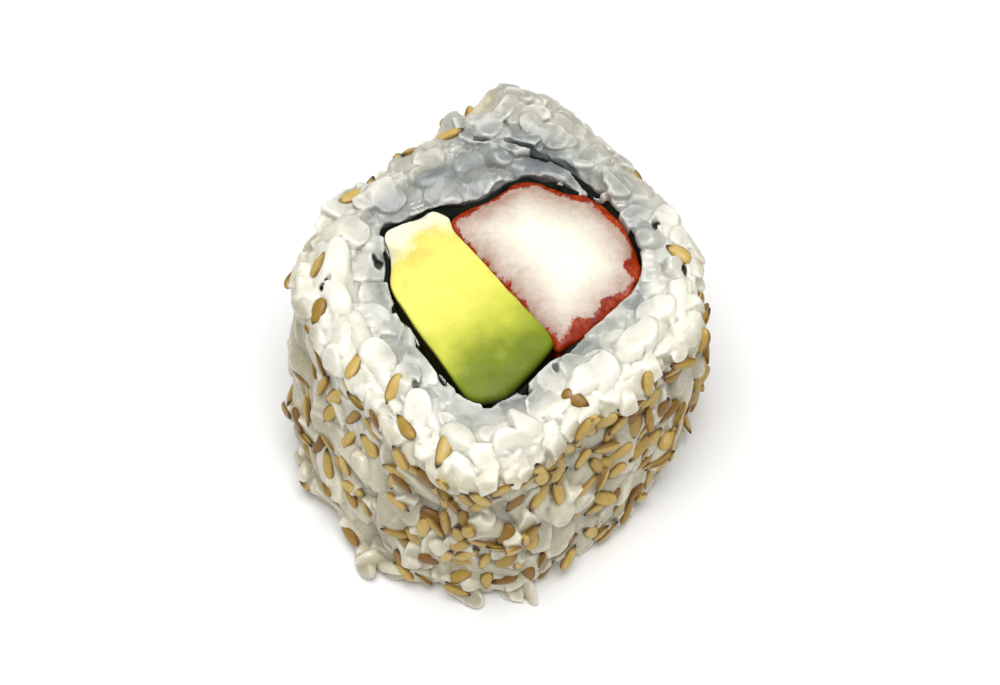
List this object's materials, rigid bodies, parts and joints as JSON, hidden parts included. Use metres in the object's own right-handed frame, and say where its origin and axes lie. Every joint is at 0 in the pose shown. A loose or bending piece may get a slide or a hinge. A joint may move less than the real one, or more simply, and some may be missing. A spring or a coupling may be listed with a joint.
{
  "type": "uramaki roll",
  "caption": "Cut piece of an inside-out sushi roll: a thick ring of rice round a spiral of nori, with crab stick and avocado running through it, standing on one cut face.",
  "frame": {"origin": "centre of the base of the whole piece's box, on the surface it stands on", "axes": "+Z from the lower cut face up to the upper one; -Y towards the viewer, the side where the upper cut face is lowest; +X to the viewer's right"},
  "size_m": [0.0464, 0.0494, 0.0309],
  "materials": {
    "rice": "moist white cooked rice",
    "nori": "dark green-black seaweed sheet",
    "crab_stick": "creamy white with an orange-red skin",
    "avocado": "yellow flesh turning green towards the skin side"
  },
  "bodies": {
    "root": {"rice": "rice", "nori": "nori", "crab_stick": "crab_stick", "avocado": "avocado"}
  },
  "joints": []
}
